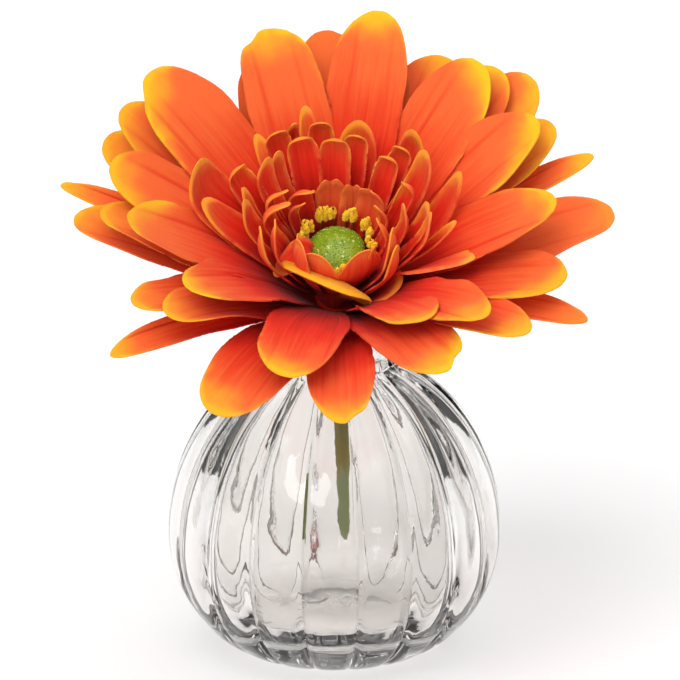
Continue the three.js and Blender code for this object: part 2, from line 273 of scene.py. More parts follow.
def press_ripple(points):
    """How far the press left the inner wall uneven at each point."""
    x, y, z = points.T
    around = np.arctan2(y, x)
    broad = np.sin(7 * around + 0.21 * z) * np.cos(0.33 * z + 2 * around)
    fine = np.sin(0.9 * x + 0.5 * z) * np.cos(0.8 * y - 0.7 * z)
    floor = np.clip((20 - z) / 8, 0, 1)
    return 0.10 * broad + 0.05 * fine + 0.12 * floor * np.sin(2.1 * z + 3 * np.sin(3 * around))


def ring_mesh(rings, poles):
    """Rings of points closed by a pole at each end: all points, and faces that look outwards."""
    count = len(rings[0])
    points = np.vstack([*rings, *poles])
    faces = []
    for j in range(len(rings) - 1):
        for i in range(count):
            low, high = j * count + i, j * count + (i + 1) % count
            faces.append((low, high, high + count, low + count))
    first = len(rings) * count
    last = first - count
    for i in range(count):
        step = (i + 1) % count
        faces.append((first, step, i))
        faces.append((first + 1, last + i, last + step))
    return points, faces


def vase_mesh():
    count = RIB_COUNT * RIB_STEPS
    across = 2 * (np.arange(count) % RIB_STEPS) / RIB_STEPS - 1
    angle = np.radians(FIRST_CREASE - 90 + 360 * np.arange(count) / count)
    rings = []
    dip = RIB_DEPTH * mix(np.abs(across) ** 6, across**2, RIB_ROUND)
    outer, inner = outer_wall(), inner_wall()
    for radius, height, share in outer + inner:
        reach = radius - dip * share * math.sqrt(radius / VASE_RADIUS)
        ring = np.stack([reach * np.cos(angle), reach * np.sin(angle), np.full(count, height)], 1)
        rings.append(ring)
    for ring in rings[len(outer) + 6 :]:
        lift = press_ripple(ring)
        flat = np.linalg.norm(ring[:, :2], axis=1) < FLOOR_RADIUS + 1
        ring[:, 2] += np.where(flat, lift, 0)
        ring[:, :2] *= (1 + np.where(flat, 0, lift) / VASE_RADIUS)[:, None]
    points, faces = ring_mesh(rings, [[0, 0, BASE_RECESS], [0, 0, FLOOR_THICKNESS]])
    inside = np.zeros(len(points))
    inside[len(outer) * count : -2] = 1
    inside[-1] = 1
    return points, faces, {"inside": inside}


def glass_finish():
    """Faintly grey glass with a pebbled inner skin, some mould haze and a ground base."""
    material, graph = new_finish("pressed_glass")
    place = graph.place()
    pebble = graph.noise(place, 620, 2)
    flow = graph.noise(place, 90, 1)
    skin = graph.attribute("inside") * pebble * 0.2 + flow * 0.5
    bump = graph.bump(0.25, 0.25, skin)
    haze = graph.smooth(graph.noise(place, 45, 3), 0.55, 0.8)
    height = graph.node("ShaderNodeSeparateXYZ", {}, {0: place}, "Z")
    ground = 1 - graph.smooth(height, 0.9 * MM, 1.3 * MM)
    tint = graph.blend(haze * 0.5, GLASS_TINT, (0.87, 0.85, 0.82, 1))
    inputs = {"Base Color": tint, "Roughness": 0.004 + haze * 0.02 + ground * 0.4, "Normal": bump}
    inputs |= {"IOR": GLASS_INDEX, "Transmission Weight": 1.0}
    graph.finish(inputs)
    return material


vase_points, vase_faces, vase_values = vase_mesh()
vase = add_piece("ball_vase", vase_points, vase_faces, glass_finish(), vase_values, 30)
stands_for(vase, "vase")


# The stem is soft green plastic moulded around a wire. It goes up through the middle of the head,
# bends into the neck of the vase, leans on the mouth and stands on the inner wall at the back.
HUB = np.array([0.5, -15, 89])
LEAN = math.radians(32.5)
STEM_RADIUS = 1.6
STEM_SIDES = 24
HEAD_AXES = np.array([
    [1, 0, 0],
    [0, math.cos(LEAN), math.sin(LEAN)],
    [0, -math.sin(LEAN), math.cos(LEAN)],
])
STEM_ROUTE = [HUB + reach * HEAD_AXES[2] for reach in (15.5, 6, 0, -9)]
STEM_ROUTE += [(1.6, 10.2, 48), (3, 30.2, 15.2)]


def in_place(points):
    """Points of the head's own frame, as they stand: hub at the origin, stem axis along +Z."""
    return HUB + np.asarray(points, float) @ HEAD_AXES


def modifier_tree(name, sockets):
    """A geometry tree with a mesh in and out and these named inputs, and its graph."""
    tree = bpy.data.node_groups.new(name, "GeometryNodeTree")
    tree.interface.new_socket("Geometry", in_out="OUTPUT", socket_type="NodeSocketGeometry")
    tree.interface.new_socket("Geometry", in_out="INPUT", socket_type="NodeSocketGeometry")
    for socket, kind in sockets.items():
        tree.interface.new_socket(socket, in_out="INPUT", socket_type=kind)
    return tree, Graph(tree)


def grown(piece, tree, values):
    """Runs a geometry tree on a piece, and keeps its result as the piece's plain mesh."""
    modifier = piece.modifiers.new(tree.name, "NODES")
    modifier.node_group = tree
    for item in tree.interface.items_tree:
        if item.in_out == "INPUT" and item.name in values:
            modifier[item.identifier] = values[item.name]
    bpy.context.view_layer.update()
    seen = piece.evaluated_get(bpy.context.evaluated_depsgraph_get())
    mesh = bpy.data.meshes.new_from_object(seen)
    piece.modifiers.clear()
    piece.data = mesh
    return piece


def painted(graph, geometry):
    """The geometry as real faces, in the tree's own material."""
    whole = graph.node("GeometryNodeRealizeInstances", {}, {"Geometry": geometry})
    inputs = {"Geometry": whole, "Material": graph.given("Material")}
    return graph.node("GeometryNodeSetMaterial", {}, inputs)


def put_together(graph, base, added):
    both = graph.node("GeometryNodeJoinGeometry", {}, {"Geometry": base})
    graph.tree.links.new(added.socket, both.socket.node.inputs["Geometry"])
    return painted(graph, both)


def stem_tree():
    """A tube with low ridges that follows a line of edges."""
    float_kind = "NodeSocketFloat"
    kinds = {"Radius": float_kind, "Ridge": float_kind, "Sides": "NodeSocketInt"}
    tree, graph = modifier_tree("moulded_stem", kinds | {"Material": "NodeSocketMaterial"})
    line = graph.node("GeometryNodeMeshToCurve", {}, {"Mesh": graph.given("Geometry")})
    inputs = {"Resolution": graph.given("Sides"), "Radius": graph.given("Radius")}
    circle = graph.node("GeometryNodeCurvePrimitiveCircle", {"mode": "RADIUS"}, inputs)
    inputs = {"Curve": line, "Profile Curve": circle, "Fill Caps": True}
    tube = graph.node("GeometryNodeCurveToMesh", {}, inputs)
    place = graph.node("GeometryNodeInputPosition")
    inputs = {"Vector": place, "Scale": 900.0, "Detail": 1.0}
    grain = graph.node("ShaderNodeTexNoise", {}, inputs, "Fac")
    lift = (grain - 0.5) * graph.given("Ridge")
    normal = graph.node("GeometryNodeInputNormal")
    inputs = {0: normal, "Scale": lift}
    offset = graph.node("ShaderNodeVectorMath", {"operation": "SCALE"}, inputs)
    moved = graph.node("GeometryNodeSetPosition", {}, {"Geometry": tube, "Offset": offset})
    graph.node("NodeGroupOutput", {}, {"Geometry": painted(graph, moved)})
    return tree


def stem_finish():
    """Olive plastic, browner towards the head, with a faint moulding grain."""
    material, graph = new_finish("stem_plastic")
    place = graph.place()
    height = graph.node("ShaderNodeSeparateXYZ", {}, {0: place}, "Z")
    mottle = graph.noise(place, 260, 3)
    upper = graph.smooth(height / MM + mottle * 16, 40, 80)
    colour = graph.blend(upper, (0.13, 0.165, 0.03, 1), (0.17, 0.135, 0.035, 1))
    colour = graph.blend(mottle * 0.35, colour, (0.24, 0.24, 0.06, 1))
    grain = graph.noise(place, 2400, 2)
    bump = graph.bump(0.35, 0.1, grain)
    inputs = {"Base Color": colour, "Roughness": 0.42 + mottle * 0.2, "Normal": bump}
    graph.finish(inputs)
    return material


stem_line = smooth_route(STEM_ROUTE, 16)
stem_mesh = bpy.data.meshes.new("green_stem")
stem_edges = [(i, i + 1) for i in range(len(stem_line) - 1)]
stem_mesh.from_pydata((stem_line * MM).tolist(), stem_edges, [])
stem = bpy.data.objects.new("green_stem", stem_mesh)
bpy.context.scene.collection.objects.link(stem)
stem_values = {"Radius": STEM_RADIUS * MM, "Ridge": 0.16 * MM, "Sides": STEM_SIDES}
grown(stem, stem_tree(), stem_values | {"Material": stem_finish()})
stands_for(stem, "stem")


# The calyx is a cup of firm green plastic, moulded with fine ribs like the bracts of a real gerbera.
# It is pushed up the stem and holds the petal discs from below.
DISC_THICKNESS = 1.2
HOLE_RADIUS = 1.9
SEAT = 0.3
CALYX_RIBS = 16


def turned(profile, sides, relief=None):
    """A closed ring about Z from a loop of [radius, height] rows."""
    angle = 2 * np.pi * np.arange(sides) / sides
    points = []
    for row, (radius, height) in enumerate(profile):
        reach = radius + (relief(row, angle) if relief else 0)
        points += list(zip(reach * np.cos(angle), reach * np.sin(angle), np.full(sides, height)))
    faces = []
    for row in range(len(profile)):
        below, above = row * sides, (row + 1) % len(profile) * sides
        for i in range(sides):
            step = (i + 1) % sides
            faces.append((below + i, below + step, above + step, above + i))
    return np.array(points), faces


def calyx_mesh():
    top = -DISC_THICKNESS / 2 - SEAT
    under = [(2.6, top - 6), (2.8, top - 5.9), (3.4, top - 5.1), (4.1, top - 4.2), (4.7, top - 3.2)]
    flare = [(5.25, top - 2.1), (5.65, top - 1.1), (5.78, top - 0.6), (5.65, top - 0.15), (5.4, top)]
    bore = [(HOLE_RADIUS, top), (HOLE_RADIUS, top - 6)]
    ribbed = range(2, len(under) + len(flare) - 2)

    def relief(row, angle):
        return -0.22 * np.abs(np.sin(CALYX_RIBS / 2 * angle)) ** 6 if row in ribbed else 0 * angle

    return turned(under + flare + bore, 96, relief)


def calyx_finish():
    material, graph = new_finish("calyx_plastic")
    place = graph.place()
    mottle = graph.noise(place, 500, 3)
    colour = graph.blend(mottle, (0.085, 0.16, 0.02, 1), (0.16, 0.25, 0.04, 1))
    grain = graph.noise(place, 3000, 2)
    bump = graph.bump(0.3, 0.08, grain)
    inputs = {"Base Color": colour, "Roughness": 0.4 + mottle * 0.25, "Normal": bump}
    graph.finish(inputs)
    return material


calyx_points, calyx_faces = calyx_mesh()
calyx = add_piece("calyx_cup", in_place(calyx_points), calyx_faces, calyx_finish(), None, 50)
stands_for(calyx, "calyx")


# The long petals are three discs of polyester cloth, die-cut, dyed from deep red at the root to yellow
# at the tip, and pressed hot so that each petal is cupped and has two creases. The cut edges fray. The
# darkest red at the roots is partly painted shade where the petals meet.
DISC_PITCH = 1.6
RAY_START = 5.4
RAY_ROOT = 3.8
CLOTH = 0.34
RAY_ROWS = 78
RAY_COLUMNS = 27
RAY_SHAPE = {
    "start": RAY_START, "sunk": RAY_ROOT, "root": 0.14, "widest": 0.66, "blunt": 2.6, "arch": 20,
    "cup": 1.4, "crease": 0.45, "side_crease": -0.5, "groove": 0.5, "fold": 0, "roll": 0, "twist": 0,
    "curl": 0, "notch": 0, "skew": 0, "wave": 0.7, "scallop": 0.25, "jag": 0.16, "gold": 0.8,
    "lean": 0, "deep": 0, "lip": 0, "curl_from": 0.66, "gilding": 0,
}
# Azimuth, rise above the disc, length and width of each petal, and its own traits. The first three were
# solved from where its tip lies in the photograph, rounded, and then corrected. A positive lean
# or crease is on the petal's anticlockwise side, seen from above.
LOWER_RAYS = [
    (2, 27, 66, 17, {"gold": 0.3, "wave": 1.2, "scallop": 0.6}),
    (20, 26, 65, 10, {"blunt": 1.5, "lean": -0.3}), (42, 30, 66, 20, {"lean": -0.7, "crease": 0.4}),
    (64, 28, 61, 20, {"lean": -0.8, "crease": 0.3, "gold": 0.7}), (92, 32, 62, 18, {"gold": 0.1}),
    (131, 30, 63, 17, {"lean": 0.4, "blunt": 1.5, "gold": 0.7}), (153, 27, 62, 19, {"lean": 0.3}),
    (168, 24, 66, 8, {"blunt": 1.6}), (180, 29, 63, 15, {"lean": -0.4}),
    (214, 22, 62, 8, {"arch": 39, "roll": -25, "blunt": 1.7}),
    (244, 24, 61, 20, {"crease": -0.4, "lean": -0.3}), (271, 27, 61, 16, {"notch": 0.08}),
    (335, 24, 64, 11, {"arch": 36, "blunt": 1.3, "gold": 0.25}),
]
MIDDLE_RAYS = [
    (27, 32, 61, 16, {"lean": -0.5}), (49, 33, 62, 20, {"gold": 1.0, "lean": 0.5}),
    (77, 33, 56, 17, {"gold": 0.1}), (112, 33, 56, 17, {"gold": 0.1}),
    (148, 32, 63, 18, {"lean": 0.5}), (182, 34, 59, 15, {"wave": 1.2}),
    (210, 32, 57, 13, {"scallop": 0.6}), (219, 35, 54, 15, {"scallop": 0.7, "wave": 1.3}),
    (297, 32, 57, 20, {"lean": 0.6, "crease": 0.5, "notch": 0.12, "gold": 1.0}),
    (321, 31, 60, 15, {"lean": -0.5, "blunt": 1.6, "scallop": 0.6}),
    (340, 31, 59, 18, {"lean": -0.6, "crease": 0.4}),
]
UPPER_RAYS = [
    (356, 39, 58, 17, {"lean": 0.3, "blunt": 1.9, "scallop": 0.5, "gold": 0.9}),
    (27, 38, 59, 20, {"lean": -0.7, "skew": -0.1, "gold": 1.0, "blunt": 2.2, "scallop": 0.4}),
    (50, 38, 60, 19, {"lean": -0.7, "crease": 0.35, "side_crease": 0.62, "gold": 1.0}),
    (80, 38, 64, 19, {"crease": 0.4, "skew": -0.05, "gold": 1.0, "blunt": 2.5}),
    (108, 38, 61, 19, {"crease": 0.5, "notch": 0.07, "gold": 1.0, "lean": -0.2, "blunt": 3.8}),
    (141, 37, 64, 21, {"crease": 0.55, "side_crease": 0.2, "notch": 0.06, "gold": 1.0, "lean": 0.8}),
    (170, 36, 59, 19, {"lean": 0.5, "gold": 0.9, "scallop": 0.5}),
    (191, 41, 57, 18, {"lean": -0.7, "scallop": 0.5, "jag": 0.3}),
    (219, 42, 51, 17, {"arch": 28, "gold": 1.0, "scallop": 0.8, "jag": 0.3, "blunt": 2.1}),
    (257, 33, 55, 19, {"arch": 44, "crease": 0.75, "gold": 0.9, "lean": -0.3}),
    (301, 42, 45, 16, {"arch": 28, "wave": 1.6, "scallop": 0.9, "lean": -0.4}),
    (314, 38, 56, 14, {"arch": 32, "lean": -0.5, "blunt": 1.8, "scallop": 0.6}),
]


def scatter(index, salt):
    """A repeatable scatter between -1 and 1."""
    wave = np.sin(np.asarray(index) * 12.9898 + salt * 78.233) * 43758.5453
    return 2 * (wave - np.floor(wave)) - 1


def smoothstep(value, low, high):
    share = np.clip((value - low) / (high - low), 0, 1)
    return share * share * (3 - 2 * share)


def petal_outline(petal, seed, rows, columns):
    """For each grid point, its place along the petal and its offset from the midline."""
    v = np.sin(np.linspace(-1, 1, columns) * math.pi / 2)
    tip = (1 - v**2) ** (1 / petal["blunt"])
    dent = np.exp(-(((v - petal["crease"]) / 0.2) ** 2))
    tip = tip * (1 - petal["notch"] * dent + petal["skew"] * v)
    end = petal["widest"] + (1 - petal["widest"]) * tip
    end[1:-1] += 0.6 * petal["jag"] / petal["length"] * scatter(np.arange(1, columns - 1), seed + 50)
    u = 1 - (1 - np.linspace(0, 1, rows)) ** 1.25
    along = u[:, None] * end[None, :]
    swell = np.sin(math.pi / 2 * np.minimum(along / petal["widest"], 1)) ** 1.2
    half = petal["width"] / 2 * mix(petal["root"], 1, swell)
    swing = np.sin(21 * along + 3 * scatter(seed, 43) * np.sign(v) + 2 * v)
    ragged = petal["scallop"] * np.abs(v) ** 4 * swing * smoothstep(along, 0.35, 0.6)
    offset = v[None, :] * (half + ragged)
    for side, salt in ((0, 61), (-1, 67)):
        tooth = scatter(np.arange(rows), seed + salt) * smoothstep(u, 0.1, 0.35)
        offset[:, side] += petal["jag"] * tooth * np.sign(v[side])
    return along, offset, half


def petal_midline(petal, samples=160):
    """The midline's radius and height, marched outwards from the disc, with its slope."""
    along = np.linspace(0, 1, samples)
    slope = petal["rise"] + petal["arch"] * (0.5 - along)
    slope = slope - petal["fold"] * smoothstep(along, 0.56, 0.76)
    slope = np.radians(slope + petal["curl"] * smoothstep(along, petal["curl_from"], 1.0))
    middle = (slope[1:] + slope[:-1]) / 2
    step = petal["length"] / (samples - 1)
    radius = petal["start"] + np.concatenate([[0], np.cumsum(np.cos(middle) * step)])
    height = petal["height"] + np.concatenate([[0], np.cumsum(np.sin(middle) * step)])
    return along, radius, height, slope


def petal_surface(petal, seed, rows, columns):
    """The middle surface of one petal, with its place along and across and its distance to the rim."""
    along, offset, half = petal_outline(petal, seed, rows, columns)
    station, radius, height, slope = petal_midline(petal)
    radius, height, slope = (np.interp(along, station, track) for track in (radius, height, slope))
    free = smoothstep(along, 0, 0.4)
    cupping = 8 * petal["cup"] / petal["width"] ** 2
    curvature = mix(np.sin(slope) / radius, cupping, free)
    curvature = np.where(np.abs(curvature) < 1e-4, 1e-4, curvature)
    bend = offset * curvature
    across = offset / half
    main, other = petal["crease"], petal["side_crease"]
    press = np.exp(-(((across - main) / 0.09) ** 2)) + 0.6 * np.exp(-(((across - other) / 0.09) ** 2))
    hinged = np.maximum(0, (across - main) * math.copysign(1, main))
    sunk = petal["groove"] * (press + 2.4 * hinged) * np.sin(np.pi * np.clip(along, 0, 1)) ** 0.7
    phase = 3 * scatter(seed, 71) + 1.5 * np.sign(across)
    wave = petal["wave"] * np.abs(across) ** 3 * np.sin(9 * along + phase) * smoothstep(along, 0.3, 0.7)
    ahead = (along[-1:] - along) * petal["length"]
    rim = np.minimum((1 - np.abs(across)) * half, ahead)
    lip = petal["lip"] * np.clip(1 - rim / 1.8, 0, 1) ** 2 * smoothstep(along, 0.4, 0.7)
    sideways = np.sin(bend) / curvature
    lift = (1 - np.cos(bend)) / curvature - sunk + wave - lip
    roll = np.radians(petal["roll"] * free + petal["twist"] * along)
    side = sideways * np.cos(roll) - lift * np.sin(roll)
    normal = sideways * np.sin(roll) + lift * np.cos(roll)
    out = radius - normal * np.sin(slope)
    up = height + normal * np.cos(slope)
    turn = math.radians(petal["azimuth"])
    x = out * math.cos(turn) - side * math.sin(turn)
    y = out * math.sin(turn) + side * math.cos(turn)
    return np.stack([x, y, up], -1), along, across, rim


def rooted(surface, petal):
    """Adds the flat root that is sunk into the disc, as a first row."""
    first = surface[0]
    centre = first[len(first) // 2]
    inwards = np.array([centre[0], centre[1], 0]) / np.linalg.norm(centre[:2])
    root = first - inwards * (petal["start"] - petal["sunk"])
    root[:, 2] = petal["height"]
    return np.vstack([root[None], surface])


def petal_sheet(petal, seed, rows, columns):
    """One petal as a closed sheet of cloth: points, faces and the values that its dye follows."""
    surface, along, across, rim = petal_surface(petal, seed, rows, columns)
    surface = rooted(surface, petal)
    along, across, rim = (np.vstack([track[:1], track]) for track in (along, across, rim))
    down = np.gradient(surface, axis=0)
    over = np.gradient(surface, axis=1)
    normal = np.cross(down, over)
    normal /= np.maximum(np.linalg.norm(normal, axis=-1, keepdims=True), 1e-9)
    rows = rows + 1
    top = (surface + normal * CLOTH / 2).reshape(-1, 3)
    under = (surface - normal * CLOTH / 2).reshape(-1, 3)
    total = rows * columns
    j, i = np.meshgrid(np.arange(rows - 1), np.arange(columns - 1), indexing="ij")
    a = (j * columns + i).ravel()
    b = a + columns
    faces = np.vstack([np.stack([a, b, b + 1, a + 1], 1), np.stack([a, a + 1, b + 1, b], 1) + total])
    left = np.arange(rows - 1) * columns
    right = left + columns - 1
    foot = np.arange(columns - 1)
    tip = foot + total - columns
    walls = [(left, left + columns), (right + columns, right), (foot + 1, foot), (tip, tip + 1)]
    walls = [np.stack([a, a + total, b + total, b], 1) for a, b in walls]
    cut = np.concatenate([np.zeros(len(faces)), np.ones(sum(len(wall) for wall in walls))])
    faces = np.vstack([faces, *walls])
    tracks = {
        "along": along, "across": across, "rim": rim, "run": along * petal["length"],
        "span": across * petal["width"] / 2,
    }
    values = {key: np.tile(track.ravel(), 2) for key, track in tracks.items()}
    traits = {key: petal[key] for key in ("gold", "gilding", "lean", "crease", "side_crease")}
    traits |= {"tone": scatter(seed, 81), "deep": petal["deep"] + 0.05 * scatter(seed, 83)}
    values |= {key: np.full(2 * total, float(value)) for key, value in traits.items()}
    return np.vstack([top, under]), faces, cut, values


def hub_ring(height, radius):
    """The middle of a die-cut disc, with the hole for the stem."""
    low = height - CLOTH
    high = height + CLOTH
    loop = [(HOLE_RADIUS, low), (radius, low), (radius, high), (HOLE_RADIUS, high)]
    return turned(loop, 48)


def disc_piece(name, petals, seed, hub_radius, rows, columns, material):
    """A whole die-cut disc: its petals and its middle, as one piece of cloth."""
    points, faces = hub_ring(petals[0]["height"], hub_radius)
    faces = [tuple(face) for face in faces]
    cuts = [np.zeros(len(faces))]
    tracks = {}
    parts = [points]
    start = len(points)
    for index, petal in enumerate(petals):
        corners, quads, cut, values = petal_sheet(petal, seed + index, rows, columns)
        faces += [tuple(quad) for quad in (quads + start).tolist()]
        parts.append(corners)
        cuts.append(cut)
        for key, track in values.items():
            tracks.setdefault(key, [np.zeros(len(points))]).append(track)
        start += len(corners)
    values = {key: np.concatenate(track) for key, track in tracks.items()}
    piece = add_piece(name, in_place(np.vstack(parts)), faces, material, values, 55)
    attribute = piece.data.attributes.new("cut", "FLOAT", "FACE")
    attribute.data.foreach_set("value", np.concatenate(cuts).astype(np.float32))
    return piece


def fray_tree():
    """Loose thread ends: thin spikes stood on the cut edge at random, leaning every way."""
    kinds = {"Density": "NodeSocketFloat", "Length": "NodeSocketFloat", "Thickness": "NodeSocketFloat"}
    kinds |= {"Seed": "NodeSocketInt", "Material": "NodeSocketMaterial"}
    tree, graph = modifier_tree("frayed_edge", kinds)
    cloth = graph.given("Geometry")
    cut = graph.node("GeometryNodeInputNamedAttribute", {"data_type": "FLOAT"}, {"Name": "cut"})
    inputs = {"Mesh": cloth, "Selection": cut, "Density": graph.given("Density")}
    inputs["Seed"] = graph.given("Seed")
    scattered = graph.node("GeometryNodeDistributePointsOnFaces", {}, inputs)
    rotation = Signal(graph, scattered.socket.node.outputs["Rotation"])
    inputs = {"Vertices": 3, "Radius Bottom": graph.given("Thickness")}
    inputs["Depth"] = graph.given("Length")
    spike = graph.node("GeometryNodeMeshCone", {"fill_type": "NGON"}, inputs)
    inputs = {0: (-0.7, -0.7, 0), 1: (0.7, 0.7, 3.1), "Seed": graph.given("Seed")}
    tilt = graph.node("FunctionNodeRandomValue", {"data_type": "FLOAT_VECTOR"}, inputs)
    inputs = {"Rotation": rotation, "Rotate By": tilt}
    leaning = graph.node("FunctionNodeRotateRotation", {"rotation_space": "LOCAL"}, inputs)
    inputs = {2: 0.35, 3: 1.25, "Seed": graph.given("Seed")}
    size = graph.node("FunctionNodeRandomValue", {"data_type": "FLOAT"}, inputs, 1)
    inputs = {"Points": scattered, "Instance": spike, "Rotation": leaning, "Scale": size}
    threads = graph.node("GeometryNodeInstanceOnPoints", {}, inputs)
    graph.node("NodeGroupOutput", {}, {"Geometry": put_together(graph, cloth, threads)})
    return tree


def petal_finish(name, root, middle, outer, gold, depth, rim_dye_and_light):
    """Dyed cloth. The dye follows each petal from root to tip, streaked along the threads, and the
    yellow is airbrushed on the tip and rim. The near-black red at the root is partly dye and partly
    painted shade between the petals, the creases carry painted shade, and the light band along the rim
    is partly yellow dye and partly a painted highlight. A plain weave and fine press lines show up close."""
    material, graph = new_finish(name)
    place = graph.place()
    along, across = graph.attribute("along"), graph.attribute("across")
    rim, tone = graph.attribute("rim"), graph.attribute("tone")
    run, span = graph.attribute("run"), graph.attribute("span")
    streak_place = graph.node("ShaderNodeCombineXYZ", {}, {"X": span * 1.3, "Y": run * 0.05, "Z": tone * 9})
    streak = graph.noise(streak_place, 1.0, 3)
    cloud = graph.noise(place, 110, 2)
    cast = graph.noise(place, 260, 2)
    # The band along the rim is lighter: partly yellow dye, partly a painted highlight where the rim catches
    # the light.
    near_rim = (1 - graph.smooth(rim, 0.0, 2.4)) * graph.smooth(cast, 0.2, 0.7)
    # Partly painted shade: the deep value moves the dye towards the dark root on the front petals and in the
    # hooded florets' hollows, where shade falls, on top of the cloth's own darker dye.
    deep = graph.attribute("deep")
    reach = along + (streak - 0.5) * 0.36 + (cloud - 0.5) * 0.16 - deep
    reach = reach + near_rim * graph.smooth(along, 0.3, 0.6) * rim_dye_and_light
    stops = [(0.08, root), (depth * 0.55, middle), (depth, outer), (1.0, outer)]
    dye = graph.node("ShaderNodeValToRGB", {"stops": stops}, {"Fac": reach})
    rim_gold_and_light = near_rim * rim_dye_and_light
    sided = across * graph.attribute("lean")
    gilding = graph.attribute("gilding")
    gilt = along + gilding + (cloud - 0.5) * 0.2 + sided * 0.2
    tip = graph.smooth(gilt, 0.76, 1.14)
    edged = near_rim * graph.smooth(along + sided * 0.3, 0.62, 1.0)
    brushed = graph.smooth(tip + edged * (0.4 + rim_gold_and_light), 0.05, 0.9)
    gold = graph.blend(gilding, gold, (0.80, 0.47, 0.014, 1))
    dye = graph.blend(brushed * graph.attribute("gold"), dye, gold)
    valley = 1 - graph.smooth(abs(across - graph.attribute("crease")), 0.0, 0.1)
    gully = 1 - graph.smooth(abs(across - graph.attribute("side_crease")), 0.0, 0.08)
    # Painted shade: along the two creases the dye turns to the darker middle red, short of the tip.
    painted_crease_shade = (valley * 0.5 + gully * 0.3) * (1 - graph.smooth(along, 0.75, 1.0))
    dye = graph.blend(painted_crease_shade, dye, middle)
    warp = graph.node("ShaderNodeMath", {"operation": "SINE"}, {0: span * 32})
    weft = graph.node("ShaderNodeMath", {"operation": "SINE"}, {0: run * 32})
    press = graph.node("ShaderNodeMath", {"operation": "SINE"}, {0: span * 3.4 + streak * 3})
    relief = warp * 0.25 + weft * 0.25 + press * 0.5 + streak * 1.2 - valley * 3 - gully * 2
    bump = graph.bump(0.5, 0.06, relief)
    inputs = {"Base Color": dye, "Roughness": 0.72 + (cloud - 0.5) * 0.2, "Normal": bump}
    inputs |= {"Sheen Weight": 0.05, "Sheen Roughness": 0.45, "Specular IOR Level": 0.1}
    graph.finish(inputs)
    return material


def ray_petals(rays, level):
    petals = []
    for index, (azimuth, rise, length, width, traits) in enumerate(rays):
        front = max(0, -math.sin(math.radians(azimuth)))
        seed = 100 * level + index
        petal = RAY_SHAPE | {"azimuth": azimuth, "rise": rise, "length": length, "width": width}
        # The front petals' darker dye is partly painted shade.
        petal |= {"arch": 20 + 30 * front**2, "height": level * DISC_PITCH, "deep": 0.22 * front}
        petal |= {"crease": 0.45 * (1 if scatter(seed, 6) > 0 else -1), "skew": 0.08 * scatter(seed, 7)}
        petal |= {"twist": 5 * scatter(seed, 9)} | traits
        petals.append(petal)
    return petals


# The first colour, a near-black red at the root, is partly dye and partly painted shade where the petals
# meet.
ray_cloth = petal_finish(
    "ray_cloth", (0.28, 0.001, 0.001, 1), (0.66, 0.024, 0.009, 1), (0.76, 0.12, 0.030, 1),
    (0.78, 0.44, 0.014, 1), 0.76, 0.1,
)
fray = fray_tree()
FRAY = {"Density": 1.3e6, "Length": 0.55 * MM, "Thickness": 0.035 * MM, "Material": ray_cloth}
for level, (node, rays) in enumerate(
    {"ray_lower": LOWER_RAYS, "ray_middle": MIDDLE_RAYS, "ray_upper": UPPER_RAYS}.items()
):
    petals = ray_petals(rays, level)
    cloth_name = node.replace("ray_", "") + "_petals"
    disc = disc_piece(cloth_name, petals, 100 * level, RAY_START - 0.5, RAY_ROWS, RAY_COLUMNS, ray_cloth)
    grown(disc, fray, FRAY | {"Seed": level})
    stands_for(disc, node)


# The short petals around the eye are four more die-cut discs of the same cloth. They stand up, are
# pressed hollow like spoons and curl in over the eye. One at the front is larger, with its tip folded
# outwards.
FLORET_ROWS = 54
FLORET_COLUMNS = 21
FRONT_BEND = 16
FACE_ROLL = 26
FLORET_SHAPE = RAY_SHAPE | {
    "root": 0.2, "widest": 0.6, "blunt": 2.2, "cup": 2.5, "groove": 0, "crease": 0, "wave": 0.3,
    "scallop": 0.15, "jag": 0.09, "gold": 0.8, "lip": 0.7, "deep": 0.12,
}
HOOD = 84
# Hooded florets: their darker dye is partly painted shade in the hollow.
HOODED = {"curl_from": 0.84, "deep": 0.2, "lip": 0.3, "cup": 3.0, "blunt": 2.0, "widest": 0.8}
NOTCHED = {"notch": 0.3, "blunt": 3, "cup": 1.8, "deep": -0.1, "gold": 0.25}
POINTED = {"blunt": 1.35, "gold": 0.9}
GILT = {"gold": 1.0}
UPTURNED = POINTED | {"arch": -50, "cup": 1.2}
ROLLED = {"roll": -62, "twist": 48, "gold": 1.0, "blunt": 1.6, "cup": 0.8, "arch": 20}
FOLDED = {
    "fold": 44, "cup": -1.0, "gold": 1.0, "wave": 0.8, "scallop": 0.8, "roll": -14, "twist": 0,
    "arch": 0, "deep": -0.2, "gilding": 0.6,
}
LOBED = {"arch": -32, "cup": 1.5, "lip": 0.4, "deep": 0, "blunt": 1.9, "gold": 0.4, "roll": 0}
DROOPING = {"fold": 110, "cup": 1.0, "gold": 0.9, "blunt": 1.4, "arch": 0}
